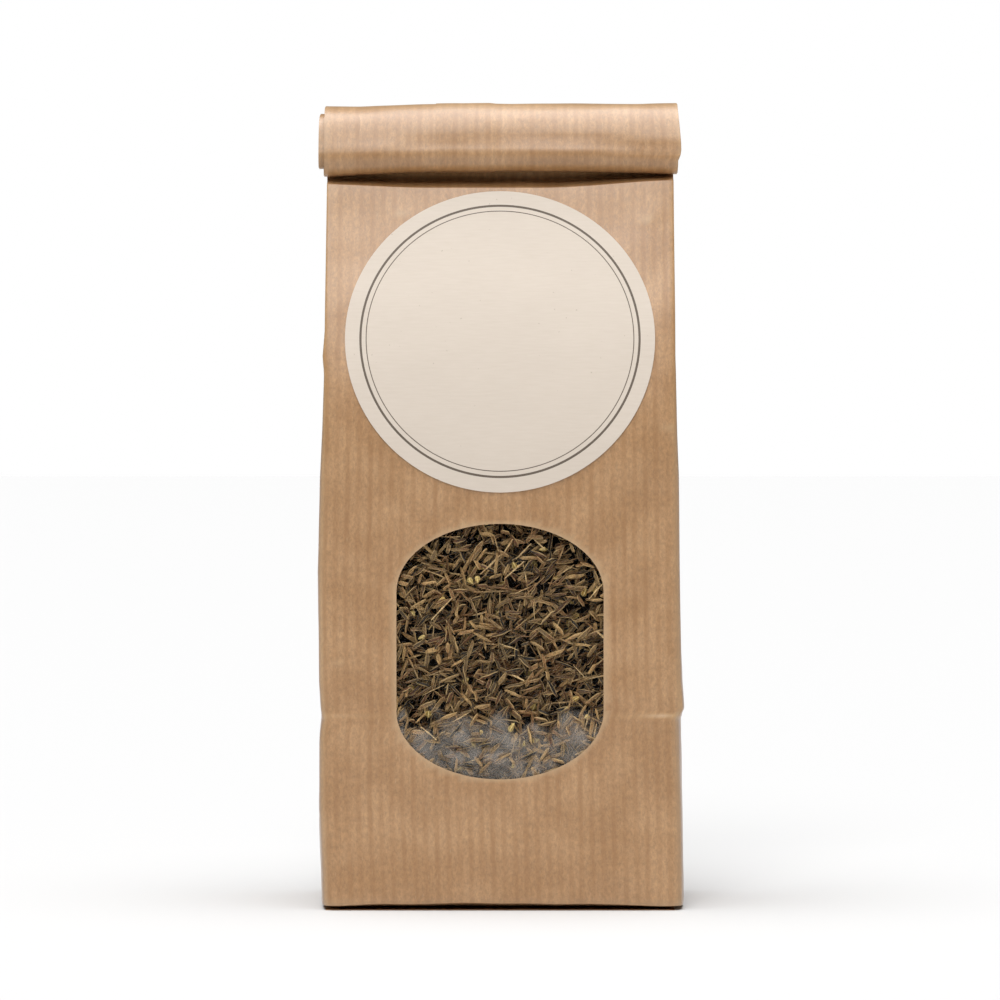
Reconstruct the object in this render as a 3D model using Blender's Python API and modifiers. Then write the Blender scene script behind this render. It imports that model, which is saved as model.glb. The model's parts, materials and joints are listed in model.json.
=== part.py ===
"""A filled block-bottom paper bag of dried thyme, standing up with its top rolled down.

The frame is in metres, +Z up, with the front towards -Y. The origin is the middle of the
flat bottom. The bag's own panels give the shape of all that touches them: the clear film
behind the cut-out, the label on the front, and the thyme inside.
"""
import math
import random

import bmesh
import bpy
from mathutils import Matrix, Vector

MM = 0.001

# Driving dimensions
BAG_WIDTH = 70 * MM             # the front panel, fold to fold
BAG_DEPTH = 40 * MM             # the bottom, front fold to back fold
BEND_LOW = 84 * MM              # up to here the panels stand upright
BEND_HIGH = 120 * MM            # from here they lean in with a straight slope
LEAN = 0.315                    # that slope, in depth over height
BELLY_TOP = 104 * MM            # the bow of the front and back panels ends here
LIP_Z = 138.5 * MM              # from here they turn in sharply
NECK_Z = 143 * MM               # and here they come together
NECK_THICKNESS = 1.4 * MM
PANEL_BOW = 0.6 * MM            # of the front and back at the bottom, and twice this at mid height
SIDE_BOW = 0.8 * MM
PAPER = 0.3 * MM
GAP = 0.3 * MM

ROLL_WIDTH = 71.4 * MM
ROLL_TOP_Z = 156.9 * MM
ROLL_BOTTOM_Z = 143.2 * MM
ROLL_STRIP = 1.1 * MM           # the four layers of the flattened top, taken together
ROLL_PITCH = 1.5 * MM           # from one turn of the roll to the next
ROLL_RADIUS = 4.7 * MM          # the outermost turn over the top, at mid thickness
ROLL_LEAN = 0.28                # the roll leans back as the front panel does
ROLL_HALF_TURNS = 4
ROLL_ARC_STEPS = 8

WINDOW_WIDTH = 40 * MM
WINDOW_HEIGHT = 49.4 * MM
WINDOW_DOME = 13.1 * MM         # height of the half ellipse at each end
WINDOW_Z = 50.2 * MM            # middle of the cut-out
WINDOW_ARC_STEPS = 20

FILM_WIDTH = 54 * MM
FILM_HEIGHT = 66 * MM
FILM = 0.2 * MM

LABEL_DIAMETER = 60 * MM
LABEL_Z = 110.7 * MM            # middle of the label
LABEL = 0.3 * MM

FILL_TOP_Z = 116 * MM
FILL_SETBACK = 3.6 * MM         # room behind the film for the loose pieces
FILM_MARGIN = 1 * MM            # the room runs this far past the film's edges
SETBACK_FADE = 4 * MM           # and closes over this height above and below it

FRONT_STEPS = 10
SIDE_STEPS = 8
HOLLOW_TOP_Z = 138.6 * MM       # above this the folds lie on each other
BODY_LEVELS = [level * MM for level in (
    0, 3, 14, 25, 37, 50, 62, 73, 80, 82, 85, 89, 94, 100, 106, 112, 118, 124, 130, 135,
    138.5, 139.5, 140.5, 141.5, 143, 144.5)]

KRAFT = (0.43, 0.26, 0.13, 1)
FILM_CLEAR = (0.80, 0.80, 0.78, 0.3)
LABEL_PAPER = (0.72, 0.66, 0.57, 1)
THYME_PACKED = (0.045, 0.032, 0.018, 1)
THYME_LEAF = (0.13, 0.10, 0.045, 1)
THYME_STALK = (0.20, 0.13, 0.06, 1)
THYME_CALYX = (0.33, 0.26, 0.12, 1)


# The shape of the bag

def half_depth(z):
    """Half of the depth between the corner folds: upright, then leaning in, then closed."""
    bend = min(max(z - BEND_LOW, 0), BEND_HIGH - BEND_LOW)
    bent = bend ** 2 / (2 * (BEND_HIGH - BEND_LOW)) + max(z - BEND_HIGH, 0)
    leaning = BAG_DEPTH / 2 - LEAN * bent
    share = min(1, max(0, (z - LIP_Z) / (NECK_Z - LIP_Z)))
    closed = share * share * (3 - 2 * share)
    return leaning + (NECK_THICKNESS / 2 - leaning) * closed


def front_bow(z):
    """How far the middle of the front and back panels bows out past their folds."""
    swell = 1 + math.sin(math.pi * min(1, z / BELLY_TOP))
    return PANEL_BOW * swell * (1 - min(1, z / NECK_Z) ** 4)


def front_y(x, z):
    """The outer face of the front panel."""
    return -half_depth(z) - front_bow(z) * (1 - (2 * x / BAG_WIDTH) ** 2)


def height_up_front(distance):
    """The height reached by going a distance up the front panel from the label's middle."""
    step = math.copysign(0.25 * MM, distance)
    z = LABEL_Z
    travelled = 0
    while abs(travelled) < abs(distance):
        rise = math.hypot(step, front_y(0, z + step) - front_y(0, z))
        share = min(1, (abs(distance) - abs(travelled)) / rise)
        z += share * step
        travelled += math.copysign(share * rise, distance)
    return z


def side_x(share, z):
    """The outer face of a side panel, at a share of the half depth from -1 to 1."""
    tuck = math.sqrt(max(0, (BAG_DEPTH / 2) ** 2 - half_depth(z) ** 2))
    swell = SIDE_BOW * max(0, 1 - (z / BEND_LOW) ** 2)
    return BAG_WIDTH / 2 + swell * (1 - share ** 2) - tuck * (1 - abs(share))


def body_outline(z):
    """The bag's outline at a height, anticlockwise from the front left fold."""
    half = []
    for step in range(FRONT_STEPS):
        x = BAG_WIDTH * (step / FRONT_STEPS - 0.5)
        half.append(Vector((x, front_y(x, z))))
    for step in range(SIDE_STEPS):
        share = 2 * step / SIDE_STEPS - 1
        half.append(Vector((side_x(share, z), share * half_depth(z))))
    return half + [-point for point in half]


def inset(points, distance):
    """An outline moved inwards by a distance, with the same number of points."""
    moved = []
    for before, here, after in zip(points[-1:] + points[:-1], points, points[1:] + points[:1]):
        arriving = (here - before).normalized()
        leaving = (after - here).normalized()
        side = Vector((-arriving.y, arriving.x))
        mitre = (side + Vector((-leaving.y, leaving.x))).normalized()
        moved.append(here + mitre * distance / max(0.1, mitre.dot(side)))
    return moved


def setback(x, z):
    """How far the packed thyme stands back behind the film, fading out past its edges."""
    side_room = BAG_WIDTH / 2 - FILM_WIDTH / 2 - FILM_MARGIN
    across = min(1, max(0, (BAG_WIDTH / 2 - abs(x)) / side_room))
    beyond = abs(z - WINDOW_Z) - FILM_HEIGHT / 2 - FILM_MARGIN
    along = min(1, max(0, 1 - beyond / SETBACK_FADE))
    return FILL_SETBACK * across * along


def fill_outline(z):
    """The packed thyme's outline at a height, clear of the paper and the film."""
    points = inset(body_outline(z), PAPER + GAP)
    for point in points[:FRONT_STEPS + 1]:
        point.y += setback(point.x, z)
    return points


# Making meshes

def collection(name):
    made = bpy.data.collections.new(name)
    bpy.context.scene.collection.children.link(made)
    return made


def material(name, colour, roughness):
    made = bpy.data.materials.new(name)
    made.use_nodes = True
    shader = made.node_tree.nodes["Principled BSDF"]
    shader.inputs["Base Color"].default_value = colour
    shader.inputs["Roughness"].default_value = roughness
    shader.inputs["Metallic"].default_value = 0
    shader.inputs["Alpha"].default_value = colour[3]
    return made


def finish(name, shape, parts, look=None):
    """Turns a bmesh into a named object in a collection."""
    mesh = bpy.data.meshes.new(name)
    shape.to_mesh(mesh)
    shape.free()
    made = bpy.data.objects.new(name, mesh)
    parts.objects.link(made)
    if look:
        mesh.materials.append(look)
    return made


def loft(levels, outline):
    """A closed solid through an outline at each height, with every side split the same way."""
    shape = bmesh.new()
    rows = [[shape.verts.new((point.x, point.y, z)) for point in outline(z)] for z in levels]
    for low, high in zip(rows, rows[1:]):
        for here in range(len(low)):
            there = (here + 1) % len(low)
            shape.faces.new((low[here], low[there], high[there]))
            shape.faces.new((low[here], high[there], high[here]))
    shape.faces.new(reversed(rows[0]))
    shape.faces.new(rows[-1])
    return shape


def add_modifier(piece, kind, **settings):
    modifier = piece.modifiers.new(kind.title(), kind)
    for key, value in settings.items():
        setattr(modifier, key, value)


def boolean(piece, other, operation):
    add_modifier(piece, "BOOLEAN", operation=operation, object=other, solver="EXACT")
    other.hide_render = True
    other.display_type = "WIRE"


def lay_on_front(shape, depth):
    """Bends a flat sheet in X and Z onto the front panel, a depth behind its outer face."""
    for vert in shape.verts:
        vert.co.y = front_y(vert.co.x, vert.co.z) + depth


def slice_in_steps(shape, half_size, step):
    """Cuts a flat sheet into small facets, so that it can bend both ways."""
    count = math.ceil(half_size / step)
    for normal in (Vector((1, 0, 0)), Vector((0, 0, 1))):
        for index in range(1 - count, count):
            everything = shape.verts[:] + shape.edges[:] + shape.faces[:]
            place = Vector((index * step, 0, index * step))
            bmesh.ops.bisect_plane(shape, geom=everything, dist=0.01 * MM, plane_co=place,
                                   plane_no=normal)


# The pieces

def window_cutter(cutters):
    """The cut-out: straight sides with a half ellipse above and below."""
    shape = bmesh.new()
    straight = WINDOW_HEIGHT / 2 - WINDOW_DOME
    verts = []
    for end in (1, -1):
        for step in range(WINDOW_ARC_STEPS + 1):
            angle = math.pi * step / WINDOW_ARC_STEPS
            x = end * WINDOW_WIDTH / 2 * math.cos(angle)
            z = WINDOW_Z + end * (straight + WINDOW_DOME * math.sin(angle))
            verts.append(shape.verts.new((x, -BAG_DEPTH / 2 - 5 * MM, z)))
    face = shape.faces.new(verts)
    grown = bmesh.ops.extrude_face_region(shape, geom=[face])["geom"]
    moved = [item for item in grown if isinstance(item, bmesh.types.BMVert)]
    bmesh.ops.translate(shape, verts=moved, vec=(0, 15 * MM, 0))
    bmesh.ops.recalc_face_normals(shape, faces=shape.faces[:])
    return finish("window_cutter", shape, cutters)


def hollow_cutter(cutters):
    """The inside of the bag, up to where its folds close on each other."""
    levels = [PAPER] + [level for level in BODY_LEVELS if PAPER < level < HOLLOW_TOP_Z]
    return finish("hollow_cutter", loft(levels, lambda z: inset(body_outline(z), PAPER)), cutters)


def roll_path():
    """The rolled top's path in Y and Z: up from the neck, then round and round, flattened."""
    top_z = ROLL_TOP_Z - ROLL_STRIP / 2 - ROLL_RADIUS
    bottom_radius = ROLL_RADIUS - ROLL_PITCH / 2
    bottom_z = ROLL_BOTTOM_Z + ROLL_STRIP / 2 + bottom_radius
    path = [(0, NECK_Z - 1 * MM)]
    for turn in range(ROLL_HALF_TURNS):
        radius = ROLL_RADIUS - turn * ROLL_PITCH / 2
        way = -1 if turn % 2 == 0 else 1
        centre_y = path[-1][0] + way * radius
        centre_z = top_z if turn % 2 == 0 else bottom_z
        for step in range(ROLL_ARC_STEPS + 1):
            angle = math.pi * step / ROLL_ARC_STEPS
            y = centre_y - way * radius * math.cos(angle)
            path.append((y, centre_z - way * radius * math.sin(angle)))
    path.append((path[-1][0], top_z - 1 * MM))
    return [(y + ROLL_LEAN * (z - NECK_Z), z) for y, z in path]


def roll_sheet(cutters):
    """The rolled top as one thick strip, to be joined to the bag."""
    shape = bmesh.new()
    verts = [shape.verts.new((-ROLL_WIDTH / 2, y, z)) for y, z in roll_path()]
    edges = [shape.edges.new(pair) for pair in zip(verts, verts[1:])]
    grown = bmesh.ops.extrude_edge_only(shape, edges=edges)["geom"]
    moved = [item for item in grown if isinstance(item, bmesh.types.BMVert)]
    bmesh.ops.translate(shape, verts=moved, vec=(ROLL_WIDTH, 0, 0))
    made = finish("roll_sheet", shape, cutters)
    add_modifier(made, "SOLIDIFY", thickness=ROLL_STRIP, offset=0, use_even_offset=True)
    return made


def paper_bag(parts, cutters):
    """One sheet of paper: panels, side folds, flat bottom, cut-out and rolled top."""
    look = material("kraft", KRAFT, 0.75)
    bag = finish("paper_bag", loft(BODY_LEVELS, body_outline), parts, look)
    boolean(bag, hollow_cutter(cutters), "DIFFERENCE")
    boolean(bag, roll_sheet(cutters), "UNION")
    boolean(bag, window_cutter(cutters), "DIFFERENCE")


def window_film(parts):
    """Clear film on the inside of the front panel, behind the cut-out."""
    shape = bmesh.new()
    bmesh.ops.create_grid(shape, x_segments=10, y_segments=12, size=0.5)
    size = Matrix.Diagonal((FILM_WIDTH, FILM_HEIGHT, 1, 1))
    upright = Matrix.Rotation(math.pi / 2, 4, "X")
    bmesh.ops.transform(shape, matrix=Matrix.Translation((0, 0, WINDOW_Z)) @ upright @ size,
                        verts=shape.verts)
    lay_on_front(shape, PAPER + GAP + FILM / 2)
    film = finish("window_film", shape, parts, material("clear_film", FILM_CLEAR, 0.15))
    add_modifier(film, "SOLIDIFY", thickness=FILM, offset=0)


def round_label(parts):
    """A round paper label on the front, following the shoulder."""
    shape = bmesh.new()
    bmesh.ops.create_circle(shape, cap_ends=True, segments=48, radius=LABEL_DIAMETER / 2)
    bmesh.ops.rotate(shape, verts=shape.verts, matrix=Matrix.Rotation(math.pi / 2, 3, "X"))
    slice_in_steps(shape, LABEL_DIAMETER / 2, 5.5 * MM)
    for vert in shape.verts:
        vert.co.z = height_up_front(vert.co.z)
    lay_on_front(shape, -GAP - LABEL / 2)
    label = finish("round_label", shape, parts, material("label_paper", LABEL_PAPER, 0.6))
    add_modifier(label, "SOLIDIFY", thickness=LABEL, offset=0)


def thyme_mass(parts):
    """The packed thyme, as one solid, with a level at each edge of its setback."""
    lowest = PAPER + GAP
    inner = [level for level in BODY_LEVELS if lowest < level < FILL_TOP_Z]
    reach = FILM_HEIGHT / 2 + FILM_MARGIN
    edges = [WINDOW_Z + way * (reach + fade) for way in (-1, 1) for fade in (0, SETBACK_FADE)]
    levels = sorted([lowest, FILL_TOP_Z] + inner + edges)
    look = material("packed_thyme", THYME_PACKED, 0.9)
    finish("thyme_mass", loft(levels, fill_outline), parts, look)


def place_behind_film(shape, x, z, depth, turn):
    """Turns a small piece in the plane of the front and puts it at a depth behind it."""
    spin = Matrix.Rotation(turn, 4, "Y")
    place = Matrix.Translation((x, front_y(x, z) + depth, z))
    bmesh.ops.transform(shape, matrix=place @ spin, verts=shape.verts)


def thyme_leaf(length):
    """A rolled lance-shaped leaf along X."""
    shape = bmesh.new()
    bmesh.ops.create_uvsphere(shape, u_segments=8, v_segments=6, radius=0.5)
    bmesh.ops.rotate(shape, verts=shape.verts, matrix=Matrix.Rotation(math.pi / 2, 3, "Y"))
    bmesh.ops.scale(shape, verts=shape.verts, vec=(length, 0.7 * MM, length / 4))
    return shape


def thyme_calyx(length):
    """A dried flower cup along X, narrow at its stalk end."""
    shape = bmesh.new()
    bmesh.ops.create_cone(shape, cap_ends=True, segments=8, radius1=0.25 * MM,
                          radius2=0.45 * MM, depth=length)
    bmesh.ops.rotate(shape, verts=shape.verts, matrix=Matrix.Rotation(math.pi / 2, 3, "Y"))
    return shape


def thyme_stalk(length, bend):
    """A thin bent stalk along X."""
    shape = bmesh.new()
    bmesh.ops.create_cone(shape, cap_ends=True, segments=6, radius1=0.3 * MM,
                          radius2=0.22 * MM, depth=length)
    bmesh.ops.rotate(shape, verts=shape.verts, matrix=Matrix.Rotation(math.pi / 2, 3, "Y"))
    for share in (-0.25, 0, 0.25):
        everything = shape.verts[:] + shape.edges[:] + shape.faces[:]
        bmesh.ops.bisect_plane(shape, geom=everything, dist=0.01 * MM,
                               plane_co=(share * length, 0, 0), plane_no=(1, 0, 0))
    for vert in shape.verts:
        vert.co.z += bend * (1 - (2 * vert.co.x / length) ** 2)
    return shape


def cells(across, up, margin):
    """The centres of a grid of cells that covers the window."""
    width = WINDOW_WIDTH - 2 * margin
    height = WINDOW_HEIGHT - 2 * margin
    return [((column + 0.5) * width / across - width / 2,
             WINDOW_Z + (row + 0.5) * height / up - height / 2)
            for row in range(up) for column in range(across)]


def loose_thyme(parts):
    """Leaves and flower cups that lie against the film, with stalks just behind them."""
    draw = random.Random(7)
    leaf_look = material("thyme_leaf", THYME_LEAF, 0.8)
    calyx_look = material("thyme_calyx", THYME_CALYX, 0.8)
    stalk_look = material("thyme_stalk", THYME_STALK, 0.8)
    front_depth = PAPER + 2 * GAP + FILM + 0.5 * MM
    for index, (x, z) in enumerate(draw.sample(cells(5, 6, 3 * MM), 26)):
        turn = draw.uniform(0, math.pi)
        if index < 20:
            name = f"leaf_{index + 1:02d}"
            shape = thyme_leaf(draw.uniform(3.8, 5.4) * MM)
            look = leaf_look
        else:
            name = f"calyx_{index - 19:02d}"
            shape = thyme_calyx(draw.uniform(2.4, 3.2) * MM)
            look = calyx_look
        place_behind_film(shape, x, z, front_depth, turn)
        finish(name, shape, parts, look)
    for index, (x, z) in enumerate(draw.sample(cells(3, 6, 2 * MM), 14)):
        shape = thyme_stalk(draw.uniform(8, 10.5) * MM, draw.uniform(-0.7, 0.7) * MM)
        place_behind_film(shape, x, z, front_depth + 1.2 * MM, draw.uniform(-0.4, 0.4))
        finish(f"stalk_{index + 1:02d}", shape, parts, stalk_look)


def build():
    for old in list(bpy.data.objects):
        bpy.data.objects.remove(old)
    parts = collection("thyme_window_bag")
    cutters = collection("cutters")
    paper_bag(parts, cutters)
    window_film(parts)
    round_label(parts)
    thyme_mass(parts)
    loose_thyme(parts)


build()
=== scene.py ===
"""The looks of a small kraft paper window bag, filled with dried thyme and rolled shut.

The bag is one folded sheet of ribbed kraft, from its block bottom to the last turn of its rolled top.
Everything else takes its place from that sheet's front panel or from the frame.
"""

import json
import math
import random

import bpy
import numpy as np
from mathutils import Matrix, Vector, noise

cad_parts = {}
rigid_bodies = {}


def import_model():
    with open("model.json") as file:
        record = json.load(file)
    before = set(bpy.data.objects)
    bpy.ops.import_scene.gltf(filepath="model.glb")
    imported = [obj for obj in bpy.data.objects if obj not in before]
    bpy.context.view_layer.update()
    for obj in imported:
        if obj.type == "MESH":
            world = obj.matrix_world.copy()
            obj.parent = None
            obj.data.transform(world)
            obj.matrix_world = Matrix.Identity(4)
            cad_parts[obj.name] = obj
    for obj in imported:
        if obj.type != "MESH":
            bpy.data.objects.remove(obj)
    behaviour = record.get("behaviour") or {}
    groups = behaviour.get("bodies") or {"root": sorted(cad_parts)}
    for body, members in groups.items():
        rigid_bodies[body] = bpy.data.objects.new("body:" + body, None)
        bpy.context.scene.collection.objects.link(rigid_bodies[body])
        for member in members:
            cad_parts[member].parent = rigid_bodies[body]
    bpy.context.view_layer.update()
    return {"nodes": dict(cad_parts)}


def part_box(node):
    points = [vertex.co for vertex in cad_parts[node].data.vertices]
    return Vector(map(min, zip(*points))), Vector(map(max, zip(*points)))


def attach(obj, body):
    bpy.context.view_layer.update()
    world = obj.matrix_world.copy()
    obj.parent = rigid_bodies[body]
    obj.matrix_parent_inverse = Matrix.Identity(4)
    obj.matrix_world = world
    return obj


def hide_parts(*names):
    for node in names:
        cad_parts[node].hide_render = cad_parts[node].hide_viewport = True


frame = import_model()

MM = 0.001
RANDOM = random.Random(7)

# Places from the frame
BAG_LOW, BAG_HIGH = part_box("paper_bag")
FILM_LOW, FILM_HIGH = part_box("window_film")
LABEL_LOW, LABEL_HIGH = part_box("round_label")
MASS_LOW, MASS_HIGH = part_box("thyme_mass")

# The folded sheet
BAG_WIDTH = 70 * MM
BAG_DEPTH = 40 * MM
BEND_LOW = 84 * MM              # the panels stand upright up to here
BEND_HIGH = 120 * MM            # and lean in with a straight slope from here
LEAN = 0.315                    # how far the panels lean in for each step up
LIP_Z = 140.1 * MM              # the front panel turns in under the roll
NECK_Z = 143 * MM
NECK_HALF = 0.5 * MM            # half of the four layers, where they lie on each other
PANEL_BOW = 0.6 * MM
SIDE_BOW = 0.8 * MM
PAPER = 0.18 * MM
RIB_SPACING = 2.15 * MM
CREASE_Z = 37.8 * MM            # the fold left by the bag's flat packing
CREASE_STEP = 0.17 * MM
BELLY_TOP_Z = 104 * MM          # the belly ends here, and is fullest at half this height
SEAM_X = -12.7 * MM             # the free edge of the glued back seam
OVERLAP = 12 * MM
BOTTOM_RIM = 0.62 * MM          # where the bottom edge starts to turn under
RIM_LIFT = 1.0 * MM             # how far the front of the bottom stands off the ground
LIP_RISE_RIGHT = 1.5 * MM       # the lip under the roll rises towards both ends
LIP_RISE_LEFT = 0.7 * MM
FLAP = 0.1 * MM                 # the thickness of each pressed bottom flap

# The rolled top
ROLL_TOP_Z = BAG_HIGH.z
ROLL_BOTTOM_Z = 143.2 * MM
ROLL_STRIP = 1.1 * MM           # the four layers together
ROLL_PITCH = 1.5 * MM           # how much the radius shrinks in a whole turn
ROLL_RADIUS = 4.7 * MM          # of the outer turn's round top
ROLL_LEAN = 0.28                # the roll leans back as the front panel does
ROLL_LEFT, ROLL_RIGHT = 34.6 * MM, 35.0 * MM    # how far its two ends reach
ROLL_CREASE = 0.35 * MM         # a pressed line along the front of the roll
ROLL_HALF_TURNS = 4
ROLL_ARC_STEPS = 12

# The window and the label
WINDOW_WIDTH = 40 * MM
WINDOW_HEIGHT = 49.4 * MM
WINDOW_DOME = 13.1 * MM         # height of the half ellipse at each end
WINDOW_Z = (FILM_LOW.z + FILM_HIGH.z) / 2
NEAR_WINDOW = 20 * MM, 80 * MM  # the heights between which the sheet can meet the cut-out
SNAP = 0.66 * MM                # points nearer the cut-out's outline than this are drawn onto it
CUT_EDGE_PALE_AND_HIGHLIGHT = 0.6                  # how pale the cut edge round the window is painted: partly the cut fibre's own paleness, partly painted highlight
FILM_DEPTH = 0.42 * MM          # behind the outer face of the paper
FILM = 0.05 * MM
FILM_REFLECTION_VEIL = 0.17               # how much each face of the film hides behind its painted reflection, a grey veil low down
LABEL_RADIUS = (LABEL_HIGH.x - LABEL_LOW.x) / 2
LABEL_Z = 110.7 * MM
LABEL = 0.16 * MM
LABEL_CELL = 1.5 * MM
LABEL_RINGS = ((27.0, 0.22), (25.9, 0.09))      # radius and half width of each printed ring, in mm

# The camera, and the light: each softbox has an elevation, a swing from the front and a width in
# degrees, and its strength on a white surface
CAMERA_AWAY = 1.0
CAMERA_Z = 105 * MM
CAMERA_LENS = 186.7
AIM_Z = 79.5 * MM
WORLD_LIGHT = 0.07
SOFTBOXES = (("top", 83, -15, 60, 1.27), ("front", 40, -8, 24, 0.37))


# Shape of the panels

def smooth(low, high, value):
    """0 below low, 1 above high, and an even rise between them."""
    share = min(1, max(0, (value - low) / (high - low)))
    return share * share * (3 - 2 * share)


def bump(value, middle, width):
    """1 at the middle, falling off as a bell."""
    return math.exp(-((value - middle) / width) ** 2)


def half_depth(z):
    """Half of the depth between the corner folds: upright, then leaning in, then closed."""
    bend = min(max(z - BEND_LOW, 0), BEND_HIGH - BEND_LOW)
    bent = bend ** 2 / (2 * (BEND_HIGH - BEND_LOW)) + max(z - BEND_HIGH, 0)
    leaning = BAG_DEPTH / 2 - LEAN * bent
    share = min(1, max(0, (z - LIP_Z) / (NECK_Z - LIP_Z)))
    return leaning + (NECK_HALF - leaning) * math.sin(math.pi / 2 * share)


def front_bow(z):
    """How far the middle of the front and back panels bows out past their folds."""
    swell = 1 + math.sin(math.pi * min(1, z / BELLY_TOP_Z))
    return PANEL_BOW * swell * (1 - min(1, z / NECK_Z) ** 4)


def wrinkle(a, b, size, seed):
    """A soft unevenness between -1 and 1."""
    return noise.noise(Vector((a / size, b / size, seed)))


def pinch(x, z, start, end, width):
    """1 along a short crease between two points on a panel, fading out over its width."""
    along = end - start
    place = Vector((x, z)) - start
    share = min(1, max(0, place.dot(along) / along.length_squared))
    fade = math.sin(math.pi * min(0.98, max(0.02, share)))
    return fade * math.exp(-((place - share * along).length / width) ** 2)


# The small handling creases: the start and end of each in X and Z, and its height
FRONT_CREASES = (
    (Vector((-0.0362, 0.1287)), Vector((-0.0318, 0.1279)), 0.16 * MM),
    (Vector((0.0292, 0.0946)), Vector((0.0362, 0.0921)), 0.22 * MM),
    (Vector((-0.0352, 0.0492)), Vector((-0.0300, 0.0478)), 0.14 * MM),
    (Vector((0.0255, 0.1330)), Vector((0.0330, 0.1352)), 0.10 * MM),
    (Vector((-0.0240, 0.1365)), Vector((-0.0130, 0.1330)), 0.10 * MM),
)


def crease_line(x):
    """The flat-pack crease's height, which wavers across the bag."""
    return CREASE_Z + 0.3 * MM * wrinkle(x, 0, 14 * MM, 3.1)


def crease_strength(x):
    """The crease is sharp beside the folds and nearly ironed out in the middle."""
    return 0.25 + 1.0 * smooth(24 * MM, 32 * MM, x) + 0.35 * smooth(22 * MM, 32 * MM, -x)


def panel_relief(a, z, seed):
    """Soft unevenness of a filled panel, outwards, at a place across and a height."""
    near_top = 1 - smooth(134 * MM, 139 * MM, z)
    broad = 0.34 * wrinkle(a, z * 0.8, 24 * MM, seed) + 0.13 * wrinkle(a, z, 9 * MM, seed + 5)
    fine = 0.035 * wrinkle(a, z, 3.5 * MM, seed + 9)
    return MM * (broad + fine) * near_top * smooth(0, 8 * MM, z)


def front_relief(x, z):
    """All the unevenness of the front panel, outwards."""
    from_fold = BAG_WIDTH / 2 - abs(x)
    fade = smooth(0, 7 * MM, from_fold)
    below = crease_line(x) - z
    step = CREASE_STEP * math.tanh(below / (0.45 * MM)) * math.exp(-abs(below) / (9 * MM))
    relief = panel_relief(x, z, 1.3) * fade + step * crease_strength(x)
    for start, end, height in FRONT_CREASES:
        relief += height * pinch(x, z, start, end, 0.7 * MM)
    return relief


def front_y(x, z):
    """The outer face of the front panel."""
    bow = front_bow(z) * (1 - (2 * x / BAG_WIDTH) ** 2)
    return -half_depth(z) - bow - front_relief(x, z)


def side_relief(y, z, seed):
    """The folds of a side panel, outwards: the middle fold, and the block bottom's diagonals."""
    fade = smooth(0, 6 * MM, half_depth(z) - abs(y))
    middle = -0.45 * MM * math.exp(-abs(y) / (1.1 * MM)) * smooth(14 * MM, 24 * MM, z)
    diagonal = -0.3 * MM * bump(z, BAG_DEPTH / 2 - abs(y), 0.9 * MM)
    level = crease_line(0) - z + 0.25 * max(0, y)
    step = CREASE_STEP * math.tanh(level / (0.5 * MM)) * math.exp(-abs(level) / (6 * MM))
    return (panel_relief(y, z, seed) + diagonal + step) * fade + middle


# How far out the corner folds stand at each height, all in mm
EDGE_HEIGHTS = (0, 8, 20, 33, 37, 39, 44, 66, 80, 104, 107, 112, 140)
EDGE_LEFT = (34.2, 34.4, 34.9, 34.9, 34.4, 34.7, 35.0, 35.2, 34.9, 34.5, 34.8, 34.4, 34.3)
EDGE_RIGHT = (35.3, 35.2, 35.0, 34.6, 34.5, 35.5, 35.1, 34.8, 34.7, 34.5, 34.4, 34.4, 34.4)


def edge_x(z, edge):
    """How far out a pair of corner folds stands: the bag is a little wider at its belly."""
    return float(np.interp(z, [height * MM for height in EDGE_HEIGHTS], edge)) * MM


# The sheet's grid: distances across the paper, and stations up it

PANELS = (SEAM_X + OVERLAP + BAG_WIDTH / 2, BAG_DEPTH / 2, BAG_DEPTH / 2, BAG_WIDTH,
          BAG_DEPTH / 2, BAG_DEPTH / 2, BAG_WIDTH / 2 - SEAM_X)
FOLDS = [sum(PANELS[:count]) for count in range(len(PANELS) + 1)]
FRONT_START, FRONT_END = FOLDS[3], FOLDS[4]
FOLD_COLUMNS = (0.35 * MM, 0.9 * MM, 1.6 * MM)
COLUMN_STEP = 1.3 * MM


def column_distances():
    """Distances across the paper, closer together beside the folds."""
    found = []
    for start, end in zip(FOLDS, FOLDS[1:]):
        near = [start] + [start + d for d in FOLD_COLUMNS] + [end - d for d in FOLD_COLUMNS]
        first, last = start + FOLD_COLUMNS[-1], end - FOLD_COLUMNS[-1]
        count = max(2, round((last - first) / COLUMN_STEP))
        found += near + [first + (last - first) * i / count for i in range(1, count)]
    return np.array(sorted(set(found + [FOLDS[-1]])))


def folded(distances, left, right, half, tuck, softness):
    """The sheet's outline in X and Y, with each fold rounded over its softness."""
    across = (SEAM_X + OVERLAP, -left, tuck - left, -left, right, right - tuck, right, SEAM_X)
    deep = (half, half, 0, -half, -half, 0, half, half)
    samples = [softness * (i / 4 - 1) for i in range(9)]
    x = sum(np.interp(distances + d, FOLDS, across) for d in samples) / len(samples)
    y = sum(np.interp(distances + d, FOLDS, deep) for d in samples) / len(samples)
    return x, y


def rim_lift(x, y):
    """The front of the bottom stands a little off the ground, most of all in its middle."""
    front = smooth(0.6 * BAG_DEPTH / 2, BAG_DEPTH / 2, -y)
    return RIM_LIFT * front * (1 - 0.6 * (2 * x / BAG_WIDTH) ** 2 + 0.25 * wrinkle(x, 0, 9 * MM, 5.5))


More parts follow.
